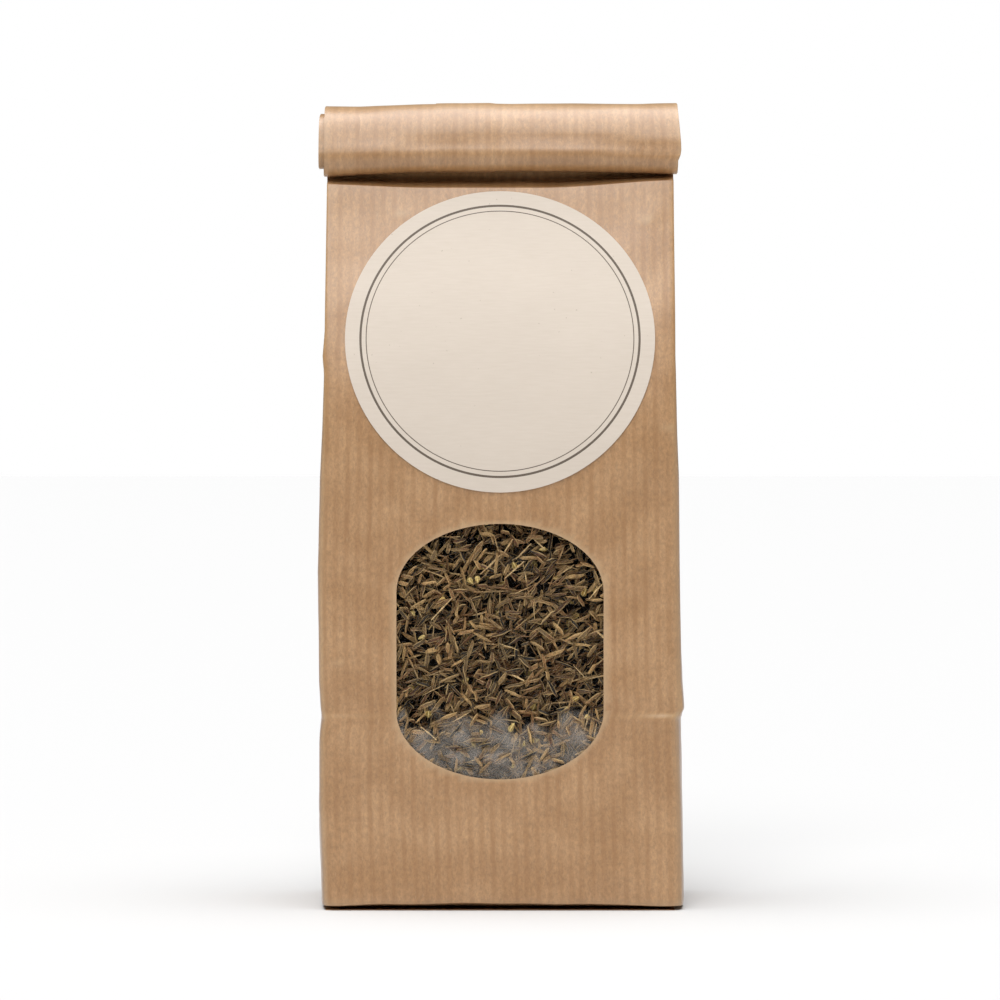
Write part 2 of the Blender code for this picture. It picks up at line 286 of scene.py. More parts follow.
def body_row(distances, z, inset=0):
    """One row of the sheet round the bag at a height."""
    half = half_depth(z)
    tuck = math.sqrt(max(0, (BAG_DEPTH / 2) ** 2 - half ** 2))
    left, right = edge_x(z, EDGE_LEFT), edge_x(z, EDGE_RIGHT)
    softness = (1.9 - 0.9 * smooth(BEND_LOW, BEND_HIGH, z) - 0.5 * smooth(LIP_Z, NECK_Z, z)) * MM
    xs, ys = folded(distances, left, right, half, tuck, softness)
    bow, swell = front_bow(z), SIDE_BOW * max(0, 1 - (z / BEND_LOW) ** 2)
    closing = 1 - smooth(LIP_Z, LIP_Z + 1.5 * MM, z)
    row = []
    for s, x, y in zip(distances, xs, ys):
        on_back = s < FOLDS[1] or s > FOLDS[6]
        on_side = not on_back and not FRONT_START <= s <= FRONT_END
        crown = max(0, 1 - (2 * x / BAG_WIDTH) ** 2)
        if on_side:
            out = math.copysign(1, x)
            share = min(1, abs(y) / max(half, 1e-6))
            x += out * (swell * (1 - share ** 2) + side_relief(y, z, 4.4 + out) * closing)
        elif on_back:
            relief = panel_relief(x, z, 7.7) * smooth(0, 7 * MM, BAG_WIDTH / 2 - abs(x))
            seam = 0.25 * MM * smooth(0, 0.5 * MM, s - (FOLDS[-1] - OVERLAP))
            y += bow * crown + relief * closing + seam
        else:
            y -= bow * crown + front_relief(x, z) * closing
        lift = LIP_RISE_RIGHT * smooth(8 * MM, 36 * MM, x) + LIP_RISE_LEFT * smooth(14 * MM, 36 * MM, -x)
        lift *= smooth(132 * MM, LIP_Z, z)
        lift += rim_lift(x, y) * (1 - smooth(0, 9 * MM, z))
        row.append(Vector((x * (1 - inset / (BAG_WIDTH / 2)), y * (1 - inset / (BAG_DEPTH / 2)),
                           z + lift)))
    return row


def roll_path():
    """The rolled top's path in Y and Z: up from the neck, then round and round, flattened."""
    top_z = ROLL_TOP_Z - ROLL_STRIP / 2 - ROLL_RADIUS
    bottom_radius = ROLL_RADIUS - ROLL_PITCH / 2
    bottom_z = ROLL_BOTTOM_Z + ROLL_STRIP / 2 + bottom_radius
    path = [(0, NECK_Z + rise * MM) for rise in (0.8, 2, 4, 6, 8)]
    for turn in range(ROLL_HALF_TURNS):
        radius = ROLL_RADIUS - turn * ROLL_PITCH / 2
        way = -1 if turn % 2 == 0 else 1
        centre_y = path[-1][0] + way * radius
        centre_z = top_z if turn % 2 == 0 else bottom_z
        for step in range(ROLL_ARC_STEPS + 1):
            angle = math.pi * step / ROLL_ARC_STEPS
            y = centre_y - way * radius * math.cos(angle)
            path.append((y, centre_z - way * radius * math.sin(angle)))
        for share in (0.35, 0.7):
            next_z = bottom_z if turn % 2 == 0 else top_z
            path.append((path[-1][0], centre_z + (next_z - centre_z) * share))
    return [Vector((y + ROLL_LEAN * (z - NECK_Z), z)) for y, z in path]


def roll_row(distances, before, here, after, turned):
    """One row of the sheet on the roll. Turned is how much of the roll is already inside."""
    ahead = (after - before).normalized()
    out = Vector((ahead.y, -ahead.x))
    tuck = math.sqrt((BAG_DEPTH / 2) ** 2 - NECK_HALF ** 2)
    xs, offsets = folded(distances, ROLL_LEFT, ROLL_RIGHT, NECK_HALF, tuck, 0.5 * MM)
    down = (ROLL_TOP_Z - here.y) / (ROLL_TOP_Z - ROLL_BOTTOM_Z)
    row = []
    for s, x, offset in zip(distances, xs, offsets):
        offset += 0.12 * MM * smooth(0, 0.5 * MM, s - (FOLDS[-1] - OVERLAP))
        crown = 1 - (2 * x / BAG_WIDTH) ** 2
        sag = 0.25 * MM * wrinkle(x, turned, 16 * MM, 2.2) + 0.1 * MM * wrinkle(x, turned, 6 * MM, 8)
        line = 0.64 + 0.05 * wrinkle(x, 0, 21 * MM, 9)
        fading = smooth(-26 * MM, 4 * MM, x) * (0.8 + 0.5 * wrinkle(x, 0, 13 * MM, 6))
        pressed = ROLL_CREASE * bump(down, line, 0.07) * bump(turned, 0.28, 0.12) * fading
        place = here + out * (offset + sag * smooth(0, 0.15, turned) * 0.6 - pressed)
        flare = 0.6 * MM * smooth(20 * MM, ROLL_RIGHT, x)
        flare *= smooth(0, 0.7, down) * (1 - smooth(0.72, 0.8, down))
        slide = -1.1 * MM * smooth(0.3, 0.75, turned) + 0.3 * MM * turned * wrinkle(s, 0, 9 * MM, 1)
        drop = -0.75 * MM * smooth(8 * MM, 35 * MM, -x) - 0.3 * MM * smooth(10 * MM, 35 * MM, x) * down
        drop += 0.12 * MM * crown * down
        row.append(Vector((x + flare + slide, place.x, place.y + drop)))
    return row


def sheet_rows(distances):
    """Every row of the bag, from the turned-in bottom edge to the end inside the roll."""
    rows = []
    # Insets and rises, in mm, of the rows turned in under the bag
    for inset, rise in ((8, 0.32), (5, 0.30), (2.6, 0.29), (1.3, 0.31), (0.55, 0.38), (0.12, 0.5)):
        flat = body_row(distances, BOTTOM_RIM, inset * MM)
        for point in flat:
            point.z = rise * MM + rim_lift(point.x, point.y) * smooth(8 * MM, 0, inset * MM)
        rows.append(flat)
    # Rows up the body, closer together at the crease and at the lip
    heights = [BOTTOM_RIM + 0.35 * MM] + [2.2 * MM + 1.25 * MM * i for i in range(27)]
    heights += [CREASE_Z + d * MM for d in (-1.6, -1.1, -0.7, -0.35, 0, 0.35, 0.7, 1.1, 1.6)]
    heights += [CREASE_Z + (2.7 + 1.26 * i) * MM for i in range(78)]
    heights += [LIP_Z - d * MM for d in (1.5, 0.8, 0.35, 0.12)]
    heights += [LIP_Z + (NECK_Z - LIP_Z) * (i / 13) ** 1.4 for i in range(14)]
    heights = sorted(h for h in heights if h <= NECK_Z)
    rows += [body_row(distances, z) for z in heights]
    path = roll_path()
    for i, here in enumerate(path):
        before, after = path[max(0, i - 1)], path[min(len(path) - 1, i + 1)]
        rows.append(roll_row(distances, before, here, after, i / len(path)))
    return rows


# Making pieces

def begin():
    """Back to object mode with nothing selected."""
    if bpy.context.object and bpy.context.object.mode != "OBJECT":
        bpy.ops.object.mode_set(mode="OBJECT")
    bpy.ops.object.select_all(action="DESELECT")


def named(name):
    """The piece just added, with its name and with its place kept in its mesh."""
    piece = bpy.context.object
    piece.name = piece.data.name = name
    bpy.ops.object.transform_apply(location=True, rotation=True, scale=True)
    return piece


def apply(piece, kind, **settings):
    """Adds a modifier with its settings and applies it."""
    begin()
    piece.select_set(True)
    bpy.context.view_layer.objects.active = piece
    modifier = piece.modifiers.new(kind.title(), kind)
    for key, value in settings.items():
        setattr(modifier, key, value)
    bpy.ops.object.modifier_apply(modifier=modifier.name)


def select_verts(piece, chosen):
    """Enters edit mode with the chosen vertices selected: chosen says yes or no for each."""
    piece.data.vertices.foreach_set("select", chosen)
    piece.data.edges.foreach_set("select", [False] * len(piece.data.edges))
    piece.data.polygons.foreach_set("select", [False] * len(piece.data.polygons))
    bpy.context.tool_settings.mesh_select_mode = (True, False, False)
    bpy.ops.object.mode_set(mode="EDIT")


def point_attribute(piece, name, values, kind="FLOAT_VECTOR"):
    """Writes one value a vertex, for a material to read."""
    layer = piece.data.attributes.new(name, kind, "POINT")
    key = "vector" if kind == "FLOAT_VECTOR" else "value"
    layer.data.foreach_set(key, np.array(values, np.float32).ravel())


def thicken(piece, thickness, offset, sharp):
    """Gives a sheet its thickness and smooth shading, but for edges sharper than some degrees."""
    apply(piece, "SOLIDIFY", thickness=thickness, offset=offset)
    piece.data.shade_smooth()
    piece.data.set_sharp_from_angle(angle=math.radians(sharp))


def finish_piece(piece, slot, look, *nodes):
    """Gives a piece its material, its body and the frame nodes that it stands for. Slot is not used."""
    piece.data.materials.clear()
    piece.data.materials.append(look)
    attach(piece, "root")
    if nodes:
        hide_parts(*nodes)


# Materials

def paint(code):
    """A colour code as linear red, green, blue and alpha."""
    channels = [int(code[i:i + 2], 16) / 255 for i in (1, 3, 5)]
    linear = [c / 12.92 if c <= 0.04045 else ((c + 0.055) / 1.055) ** 2.4 for c in channels]
    return (*linear, 1)


def add(tree, kind, inputs=None, **settings):
    """Adds a node with its settings, and its inputs as values or as sockets to link."""
    made = tree.nodes.new("ShaderNode" + kind)
    for key, value in settings.items():
        setattr(made, key, value)
    for key, value in (inputs or {}).items():
        if isinstance(value, bpy.types.NodeSocket):
            tree.links.new(value, made.inputs[key])
        else:
            made.inputs[key].default_value = value
    return made


def new_material(name):
    """An empty material and its node tree."""
    look = bpy.data.materials.new(name)
    look.use_nodes = True
    look.node_tree.nodes.clear()
    return look, look.node_tree


def ribbed_kraft():
    """Machine-glazed ribbed kraft: brown unbleached fibre with fine ribs pressed up the sheet.
    It gives the eye soft darker lines 2 mm apart, a fibrous mottle and a low paper shine."""
    look, tree = new_material("ribbed_kraft_paper")
    on_paper = add(tree, "Attribute", attribute_name="on_paper").outputs["Vector"]
    highlight_and_cut_paint = add(tree, "Attribute", attribute_name="highlight_and_cut_paint").outputs["Fac"]
    split = add(tree, "SeparateXYZ", {0: on_paper})
    waver = add(tree, "Mapping", {0: on_paper, 3: (90, 14, 1)})
    drift = add(tree, "TexNoise", {"Vector": waver.outputs[0], "Scale": 1, "Detail": 2})
    turns = add(tree, "Math", {0: split.outputs[0], 1: 2 * math.pi / RIB_SPACING}, operation="MULTIPLY")
    phase = add(tree, "Math", {0: drift.outputs[0], 1: 2.2, 2: turns.outputs[0]}, operation="MULTIPLY_ADD")
    wave = add(tree, "Math", {0: phase.outputs[0]}, operation="SINE")
    rib = add(tree, "MapRange", {0: wave.outputs[0], 1: -0.7, 2: 1}, interpolation_type="SMOOTHSTEP")
    patchy = add(tree, "Mapping", {0: on_paper, 3: (420, 70, 1)})
    fading = add(tree, "TexNoise", {"Vector": patchy.outputs[0], "Scale": 1, "Detail": 2})
    strength = add(tree, "MapRange", {0: fading.outputs[0], 1: 0.3, 2: 0.72, 3: 0.15, 4: 1})
    ribs = add(tree, "Math", {0: rib.outputs[0], 1: strength.outputs[0]}, operation="MULTIPLY")

    felted = add(tree, "Mapping", {0: on_paper, 3: (1700, 950, 1)})
    mottle = add(tree, "TexNoise", {"Vector": felted.outputs[0], "Scale": 1, "Detail": 6, "Roughness": 0.8})
    cloud = add(tree, "TexNoise", {"Vector": on_paper, "Scale": 1 / (9 * MM), "Detail": 3})
    strands = add(tree, "Mapping", {0: on_paper, 2: (0, 0, 0.5), 3: (4200, 520, 1)})
    strand = add(tree, "TexNoise", {"Vector": strands.outputs[0], "Scale": 1, "Detail": 2})
    dark_strand = add(tree, "MapRange", {0: strand.outputs[0], 1: 0.73, 2: 0.8})
    crossing = add(tree, "Mapping", {0: on_paper, 2: (0, 0, -0.9), 3: (3600, 480, 1)})
    cross = add(tree, "TexNoise", {"Vector": crossing.outputs[0], "Scale": 1, "Detail": 2})
    pale_strand = add(tree, "MapRange", {0: cross.outputs[0], 1: 0.64, 2: 0.8})

    patch = add(tree, "MapRange", {0: cloud.outputs[0], 1: 0.36, 2: 0.62})
    hue = add(tree, "Mix", {0: patch.outputs[0], 6: paint("#b28a60"), 7: paint("#a47b50")}, data_type="RGBA")
    grain = add(tree, "MapRange", {0: mottle.outputs[0], 1: 0.38, 2: 0.62, 3: 0.80, 4: 1.20})
    mottled = add(tree, "VectorMath", {0: hue.outputs[2], "Scale": grain.outputs[0]}, operation="SCALE")
    shown = mottled.outputs[0]
    layers = ((ribs, 0.6, "#93683c"), (dark_strand, 0.7, "#6b4a2c"), (pale_strand, 0.5, "#c0a27c"))
    for mask, share, tone in layers:
        much = add(tree, "Math", {0: mask.outputs[0], 1: share}, operation="MULTIPLY")
        shown = add(tree, "Mix", {0: much.outputs[0], 6: shown, 7: paint(tone)}, data_type="RGBA").outputs[2]
    # Painted highlights: paler along the folds, the bottom rim, the creases and the roll's top. Round the
    # window the cut edge is paler, partly its own colour and partly painted highlight
    highlit_and_cut = add(tree, "Mix", {0: highlight_and_cut_paint, 6: shown, 7: paint("#c0a27c")}, data_type="RGBA")

    height = add(tree, "Math", {0: ribs.outputs[0], 1: -0.5, 2: mottle.outputs[0]}, operation="MULTIPLY_ADD")
    surface = add(tree, "Bump", {"Height": height.outputs[0], "Distance": 0.05 * MM, "Strength": 0.7})
    shine = add(tree, "MapRange", {0: mottle.outputs[0], 1: 0.3, 2: 0.7, 3: 0.36, 4: 0.46})
    shader = add(tree, "BsdfPrincipled", {"Base Color": highlit_and_cut.outputs[2], "Normal": surface.outputs[0],
                                          "Roughness": shine.outputs[0], "IOR": 1.5,
                                          "Coat Weight": 0.8, "Coat Roughness": 0.4})
    add(tree, "OutputMaterial", {"Surface": shader.outputs[0]})
    return look


def label_paper():
    """Uncoated off-white label stock: it gives the eye fine level fibre lines, a few specks and two
    plain printed rings."""
    look, tree = new_material("uncoated_label_paper")
    on_label = add(tree, "Attribute", attribute_name="on_label").outputs["Vector"]
    lines = add(tree, "Mapping", {0: on_label, 3: (260, 2600, 1)})
    laid = add(tree, "TexNoise", {"Vector": lines.outputs[0], "Scale": 1, "Detail": 3})
    pulp = add(tree, "TexNoise", {"Vector": on_label, "Scale": 1 / (0.8 * MM), "Detail": 4})
    tone = add(tree, "Mix", {0: laid.outputs[0], 6: paint("#ccbfb0"), 7: paint("#d6cabd")}, data_type="RGBA")
    specks = add(tree, "TexNoise", {"Vector": on_label, "Scale": 1 / (0.9 * MM), "Detail": 1})
    speck = add(tree, "MapRange", {0: specks.outputs[0], 1: 0.76, 2: 0.8, 4: 0.5})
    specked = add(tree, "Mix", {0: speck.outputs[0], 6: tone.outputs[2], 7: paint("#9a8a74")},
                  data_type="RGBA")
    radius = add(tree, "VectorMath", {0: on_label}, operation="LENGTH").outputs["Value"]
    printed = [add(tree, "Math", {0: radius, 1: place * MM, 2: width * MM}, operation="COMPARE").outputs[0]
               for place, width in LABEL_RINGS]
    rings = add(tree, "Math", {0: printed[0], 1: printed[1]}, operation="MAXIMUM")
    inked = add(tree, "Mix", {0: rings.outputs[0], 6: specked.outputs[2], 7: paint("#63574b")},
                data_type="RGBA")
    surface = add(tree, "Bump", {"Height": pulp.outputs[0], "Distance": 0.02 * MM, "Strength": 0.5})
    shader = add(tree, "BsdfPrincipled", {"Base Color": inked.outputs[2], "Normal": surface.outputs[0],
                                          "Roughness": 0.62, "IOR": 1.5})
    add(tree, "OutputMaterial", {"Surface": shader.outputs[0]})
    return look


def clear_film():
    """Clear polypropylene: it gives the eye a thin gloss, and low down a painted reflection, a grey veil
    mixed into the film.
    """
    look, tree = new_material("clear_polypropylene_film")
    reflection_veil = add(tree, "Attribute", attribute_name="reflection_veil").outputs["Fac"]
    clear = add(tree, "BsdfTransparent", {"Color": (1, 1, 1, 1)})
    gloss = add(tree, "BsdfGlossy", {"Color": (1, 1, 1, 1), "Roughness": 0.12})
    # Painted reflection: a grey diffuse veil standing in for the lower film's reflection of the bright floor
    reflected_grey = add(tree, "BsdfDiffuse", {"Color": paint("#cbc3ba")})
    facing = add(tree, "LayerWeight", {"Blend": 0.5}).outputs["Facing"]
    grazing = add(tree, "Math", {0: facing, 1: 4}, operation="POWER")
    mirrored = add(tree, "MapRange", {0: grazing.outputs[0], 3: 0.002, 4: 0.55})
    glazed = add(tree, "MixShader", {0: mirrored.outputs[0], 1: clear.outputs[0], 2: gloss.outputs[0]})
    veiled = add(tree, "MixShader", {0: reflection_veil, 1: glazed.outputs[0], 2: reflected_grey.outputs[0]})
    add(tree, "OutputMaterial", {"Surface": veiled.outputs[0]})
    return look


def dried_herb(name, dark, light, edge, russet, roughness):
    """Dried thyme: each piece has its own tone, with painted shade on deep pieces, paler ribs and margins
    that are partly their own colour and partly painted highlight, and a dry matt skin.
    """
    look, tree = new_material(name)
    tone_and_painted_shade = add(tree, "Attribute", attribute_name="tone_and_painted_shade").outputs["Fac"]
    along = add(tree, "Attribute", attribute_name="on_leaf").outputs["Vector"]
    place = add(tree, "TexCoord").outputs["Object"]
    tone = add(tree, "Mix", {0: tone_and_painted_shade, 6: paint(dark), 7: paint(light)}, data_type="RGBA")
    warm = add(tree, "TexNoise", {"Vector": place, "Scale": 1 / (3.1 * MM), "Detail": 1})
    warmth = add(tree, "MapRange", {0: warm.outputs[0], 1: 0.42, 2: 0.66, 4: 0.55})
    warmed = add(tree, "Mix", {0: warmth.outputs[0], 6: tone.outputs[2], 7: paint(russet)}, data_type="RGBA")
    streaks = add(tree, "TexNoise", {"Vector": place, "Scale": 1 / (0.3 * MM), "Detail": 3})
    streak = add(tree, "MapRange", {0: streaks.outputs[0], 1: 0.3, 2: 0.7, 3: 0.45, 4: 1.5})
    toned = add(tree, "VectorMath", {0: warmed.outputs[2], "Scale": streak.outputs[0]}, operation="SCALE")
    split = add(tree, "SeparateXYZ", {0: along})
    # Paler leaf margins and calyx ribs: partly their own paler colour, partly painted highlight
    rim = add(tree, "MapRange", {0: split.outputs[1], 1: 0.6, 2: 1.0, 4: 0.8})
    shown = add(tree, "Mix", {0: rim.outputs[0], 6: toned.outputs[0], 7: paint(edge)}, data_type="RGBA")
    surface = add(tree, "Bump", {"Height": streaks.outputs[0], "Distance": 0.06 * MM, "Strength": 0.8})
    shader = add(tree, "BsdfPrincipled", {"Base Color": shown.outputs[2], "Normal": surface.outputs[0],
                                          "Roughness": roughness, "IOR": 1.4})
    add(tree, "OutputMaterial", {"Surface": shader.outputs[0]})
    return look


def studio_floor():
    """Matt pale grey board, which gives the eye a plain pale ground with a soft shadow."""
    look, tree = new_material("matt_pale_board")
    shader = add(tree, "BsdfPrincipled", {"Base Color": paint("#d3d3d3"), "Roughness": 0.9})
    add(tree, "OutputMaterial", {"Surface": shader.outputs[0]})
    return look


# The camera, the floor and the light

def studio():
    """A long lens a metre away, a pale floor, and soft light from overhead and a little in front."""
    scene = bpy.context.scene
    scene.view_settings.view_transform = "Standard"
    front = BAG_LOW.y
    begin()
    bpy.ops.object.camera_add(location=(0, front - CAMERA_AWAY, CAMERA_Z))
    camera = bpy.context.object
    camera.data.lens = CAMERA_LENS
    aim = Vector((0, front, AIM_Z)) - camera.location
    camera.rotation_euler = aim.to_track_quat("-Z", "Y").to_euler()
    scene.camera = camera

    bpy.ops.mesh.primitive_plane_add(size=8, location=(0, 0, 0))
    floor = bpy.context.object
    floor.name = "floor"
    floor.data.materials.append(studio_floor())

    world = bpy.data.worlds.new("soft_studio")
    scene.world = world
    world.use_nodes = True
    tree = world.node_tree
    tree.nodes.clear()
    seen = add(tree, "LightPath").outputs["Is Camera Ray"]
    light = add(tree, "Background", {"Color": (1, 1, 1, 1), "Strength": WORLD_LIGHT})
    backdrop = add(tree, "Background", {"Color": (1, 1, 1, 1), "Strength": 1.0})
    both = add(tree, "MixShader", {0: seen, 1: light.outputs[0], 2: backdrop.outputs[0]})
    add(tree, "OutputWorld", {"Surface": both.outputs[0]})

    for name, elevation, swing, width, strength in SOFTBOXES:
        begin()
        bpy.ops.object.light_add(type="SUN")
        lamp = bpy.context.object
        lamp.name = name + "_softbox"
        lamp.data.angle = math.radians(width)
        lamp.data.energy = strength * math.pi
        up, aside = math.radians(elevation), math.radians(swing)
        level = math.cos(up)
        towards = Vector((math.sin(aside) * level, -math.cos(aside) * level, math.sin(up)))
        lamp.rotation_euler = towards.to_track_quat("Z", "Y").to_euler()


# The bag

def window_edge(x, z):
    """The nearest place on the cut-out's outline, and whether the point is inside it."""
    straight = WINDOW_HEIGHT / 2 - WINDOW_DOME
    over = abs(z - WINDOW_Z) - straight
    half = WINDOW_WIDTH / 2
    if over <= 0:
        return math.copysign(half, x), z, abs(x) < half
    angle = math.atan2(over / WINDOW_DOME, x / half)
    edge_z = WINDOW_Z + math.copysign(straight + WINDOW_DOME * math.sin(angle), z - WINDOW_Z)
    return half * math.cos(angle), edge_z, (x / half) ** 2 + (over / WINDOW_DOME) ** 2 < 1


def cut_window(sheet, on_paper):
    """Draws the nearest points of the sheet onto the cut-out's outline, then removes what is inside."""
    on_edge = set()
    lowest, highest = NEAR_WINDOW
    for vert in sheet.data.vertices:
        if not FRONT_START < on_paper[vert.index][0] < FRONT_END or not lowest < vert.co.z < highest:
            continue
        x, z, _ = window_edge(vert.co.x, vert.co.z)
        if math.hypot(x - vert.co.x, z - vert.co.z) < SNAP:
            on_paper[vert.index] += (x - vert.co.x, z - vert.co.z, 0)
            vert.co = (x, front_y(x, z), z)
            on_edge.add(vert.index)
    point_attribute(sheet, "on_paper", on_paper)
    # The cut edge is painted pale: partly the cut fibre's own paleness, partly painted highlight
    for index in on_edge:
        sheet.data.attributes["highlight_and_cut_paint"].data[index].value = CUT_EDGE_PALE_AND_HIGHLIGHT
    select_verts(sheet, [vert.index in on_edge for vert in sheet.data.vertices])
    bpy.ops.mesh.vert_connect()
    bpy.ops.mesh.select_all(action="DESELECT")
    bpy.ops.object.mode_set(mode="OBJECT")
    bpy.context.tool_settings.mesh_select_mode = (False, False, True)
    for face in sheet.data.polygons:
        centre = face.center
        on_front = centre.y < 0 and centre.y < front_y(0, centre.z) + 2 * MM
        close = abs(centre.x) < WINDOW_WIDTH / 2 and lowest < centre.z < highest
        face.select = bool(on_front and close and window_edge(centre.x, centre.z)[2])
    bpy.ops.object.mode_set(mode="EDIT")
    bpy.ops.mesh.delete(type="FACE")
    bpy.ops.object.mode_set(mode="OBJECT")


def painted_highlights(distances, rows):
    """How pale the paper is painted: painted highlight along its folds, its rim, its crease and the top of
    the roll.
    """
    highlit_and_cut = []
    for row in rows:
        for s, point in zip(distances, row):
            # Painted highlight along the folds, whose rounding catches the light
            to_fold = min(abs(s - fold) for fold in FOLDS[1:7])
            sharp = 0.12 if abs(s - FOLDS[2]) < 2 * MM or abs(s - FOLDS[5]) < 2 * MM else 0.32
            fold = sharp * math.exp(-(to_fold / (0.9 * MM)) ** 2)
            # Painted highlight along the bottom rim
            rim = 0.35 * bump(point.z, 0.8 * MM, 0.7 * MM)
            # Painted highlight along the flat-pack crease and the small handling creases
            crease = 0.0
            if FRONT_START <= s <= FRONT_END:
                crease = 0.4 * bump(point.z, crease_line(point.x), 0.55 * MM) * crease_strength(point.x)
                for start, end, _ in FRONT_CREASES:
                    crease += 0.5 * pinch(point.x, point.z, start, end, 0.35 * MM)
            # Painted highlight on the top of the roll, which faces the overhead light
            rolled = 0.45 * smooth(ROLL_TOP_Z - 2.6 * MM, ROLL_TOP_Z, point.z)
            highlit_and_cut.append(min(0.8, fold + rim + crease + rolled))
    return highlit_and_cut


def kraft_bag(look):
    """The whole sheet of paper: a grid folded round the bag and on up into the roll."""
    distances = column_distances()
    rows = sheet_rows(distances)
    begin()
    bpy.ops.mesh.primitive_grid_add(x_subdivisions=len(distances) - 1, y_subdivisions=len(rows) - 1, size=1)
    bag = named("kraft_bag")
    wide, tall = len(distances), len(rows)
    climbed = np.cumsum([0] + [(b[wide // 2] - a[wide // 2]).length for a, b in zip(rows, rows[1:])])
    on_paper = np.zeros((wide * tall, 3))
    # Paler paint along the folds, the rim, the creases and the roll's top: painted highlight
    highlight_and_cut_paint = painted_highlights(distances, rows)
    highlit_and_cut = np.zeros(wide * tall)
    for vert in bag.data.vertices:
        column = round((vert.co.x + 0.5) * (wide - 1))
        row = round((vert.co.y + 0.5) * (tall - 1))
        on_paper[vert.index] = (distances[column], climbed[row], 0)
        highlit_and_cut[vert.index] = highlight_and_cut_paint[row * wide + column]
        vert.co = rows[row][column]
    point_attribute(bag, "highlight_and_cut_paint", highlit_and_cut, "FLOAT")
    cut_window(bag, on_paper)
    thicken(bag, PAPER, -1, 55)
    finish_piece(bag, "kraft_paper", look, "paper_bag")


def bottom_flaps(look):
    """The block bottom's flaps, folded over each other and glued: two short ones under two long."""
    depth = BAG_DEPTH / 2 - 0.8 * MM
    for name, side, reach, rise in (("bottom_flap_back", 1, 26 * MM, 0.13 * MM),
                                    ("bottom_flap_front", -1, 24 * MM, 0.02 * MM)):
        begin()
        bpy.ops.mesh.primitive_plane_add(size=1, location=(0, side * (depth - reach / 2), rise + FLAP))
        bpy.context.object.scale = (BAG_WIDTH - 2.4 * MM, reach, 1)
        flap = named(name)
        select_verts(flap, [vert.co.y * side < 0 for vert in flap.data.vertices])
        bpy.ops.mesh.bevel(offset=9 * MM, affect="VERTICES")
        bpy.ops.mesh.select_all(action="SELECT")
        bpy.ops.mesh.subdivide(number_cuts=8)
        bpy.ops.object.mode_set(mode="OBJECT")
        point_attribute(flap, "on_paper", [(v.co.x + 0.3, v.co.y * side, 0) for v in flap.data.vertices])
        point_attribute(flap, "highlight_and_cut_paint", [0.0] * len(flap.data.vertices), "FLOAT")
        apply(flap, "SOLIDIFY", thickness=FLAP, offset=-1)
        finish_piece(flap, "kraft_paper", look)


def window_film(look, bed):
    """Clear film glued inside the front panel. Low down, a painted reflection, a grey veil, dims it wherever
    no thyme touches it.
    """
    begin()
    middle = (FILM_LOW + FILM_HIGH) / 2
    bpy.ops.mesh.primitive_grid_add(x_subdivisions=128, y_subdivisions=157, size=1,
                                    rotation=(math.pi / 2, 0, 0), location=(0, 0, middle.z))
    bpy.context.object.scale = (FILM_HIGH.x - FILM_LOW.x, FILM_HIGH.z - FILM_LOW.z, 1)
    film = named("clear_film")
    reflection_veil = []
    for vert in film.data.vertices:
        x, z = vert.co.x, vert.co.z
        # The painted reflection's veil: below the crease, patchy, and thin where thyme presses on the film
        edge = CREASE_Z - 2.2 * MM + 2.5 * MM * (abs(x) / (WINDOW_WIDTH / 2)) ** 2
        edge += 5 * MM * wrinkle(x, z, 5 * MM, 4.4)
        low = smooth(edge + 1.5 * MM, edge - 1.5 * MM, z) * (0.45 + 1.4 * abs(wrinkle(x, z, 4 * MM, 7.2)))
        reflection_veil.append(FILM_REFLECTION_VEIL * low * (1 - 0.9 * bed.touching(x, z)))
        slack = 0.12 * MM * wrinkle(x + z, z, 5 * MM, 6.1) * smooth(CREASE_Z + 6 * MM, CREASE_Z - 4 * MM, z)
        vert.co.y = front_y(x, z) + FILM_DEPTH + 0.05 * MM * wrinkle(x, z, 7 * MM, 2.7) + slack
    point_attribute(film, "reflection_veil", reflection_veil, "FLOAT")
    thicken(film, FILM, 0, 50)
    finish_piece(film, "clear_film", look, "window_film")


def height_up_front(distance):
    """The height reached by going a distance up the front panel from the label's middle."""
    step = math.copysign(0.25 * MM, distance)
    z, travelled = LABEL_Z, 0
    while abs(travelled) < abs(distance):
        rise = math.hypot(step, half_depth(z + step) - half_depth(z))
        share = min(1, (abs(distance) - abs(travelled)) / rise)
        z += share * step
        travelled += math.copysign(share * rise, distance)
    return z


def round_label(look):
    """A round paper label stuck on the front, following its bend."""
    begin()
    bpy.ops.mesh.primitive_circle_add(vertices=144, radius=LABEL_RADIUS, fill_type="NGON")
    label = named("round_label_paper")
    bpy.ops.object.mode_set(mode="EDIT")
    count = math.floor(LABEL_RADIUS / LABEL_CELL)
    for index in range(-count + 1, count):
        for normal in ((1, 0, 0), (0, 1, 0)):
            bpy.ops.mesh.select_all(action="SELECT")
            place = (index * LABEL_CELL, index * LABEL_CELL, 0)
            bpy.ops.mesh.bisect(plane_co=place, plane_no=normal, threshold=0.00001)
    bpy.ops.object.mode_set(mode="OBJECT")
    point_attribute(label, "on_label", [v.co.copy() for v in label.data.vertices])
    for vert in label.data.vertices:
        x, z = vert.co.x, height_up_front(vert.co.y)
        lifted = 0.05 * MM * smooth(0.9 * LABEL_RADIUS, LABEL_RADIUS, math.hypot(vert.co.x, vert.co.y))
        vert.co = (x, front_y(x, z) - LABEL - 0.04 * MM - lifted, z)
    thicken(label, LABEL, -1, 50)
    finish_piece(label, "label_paper", look, "round_label")


# The thyme

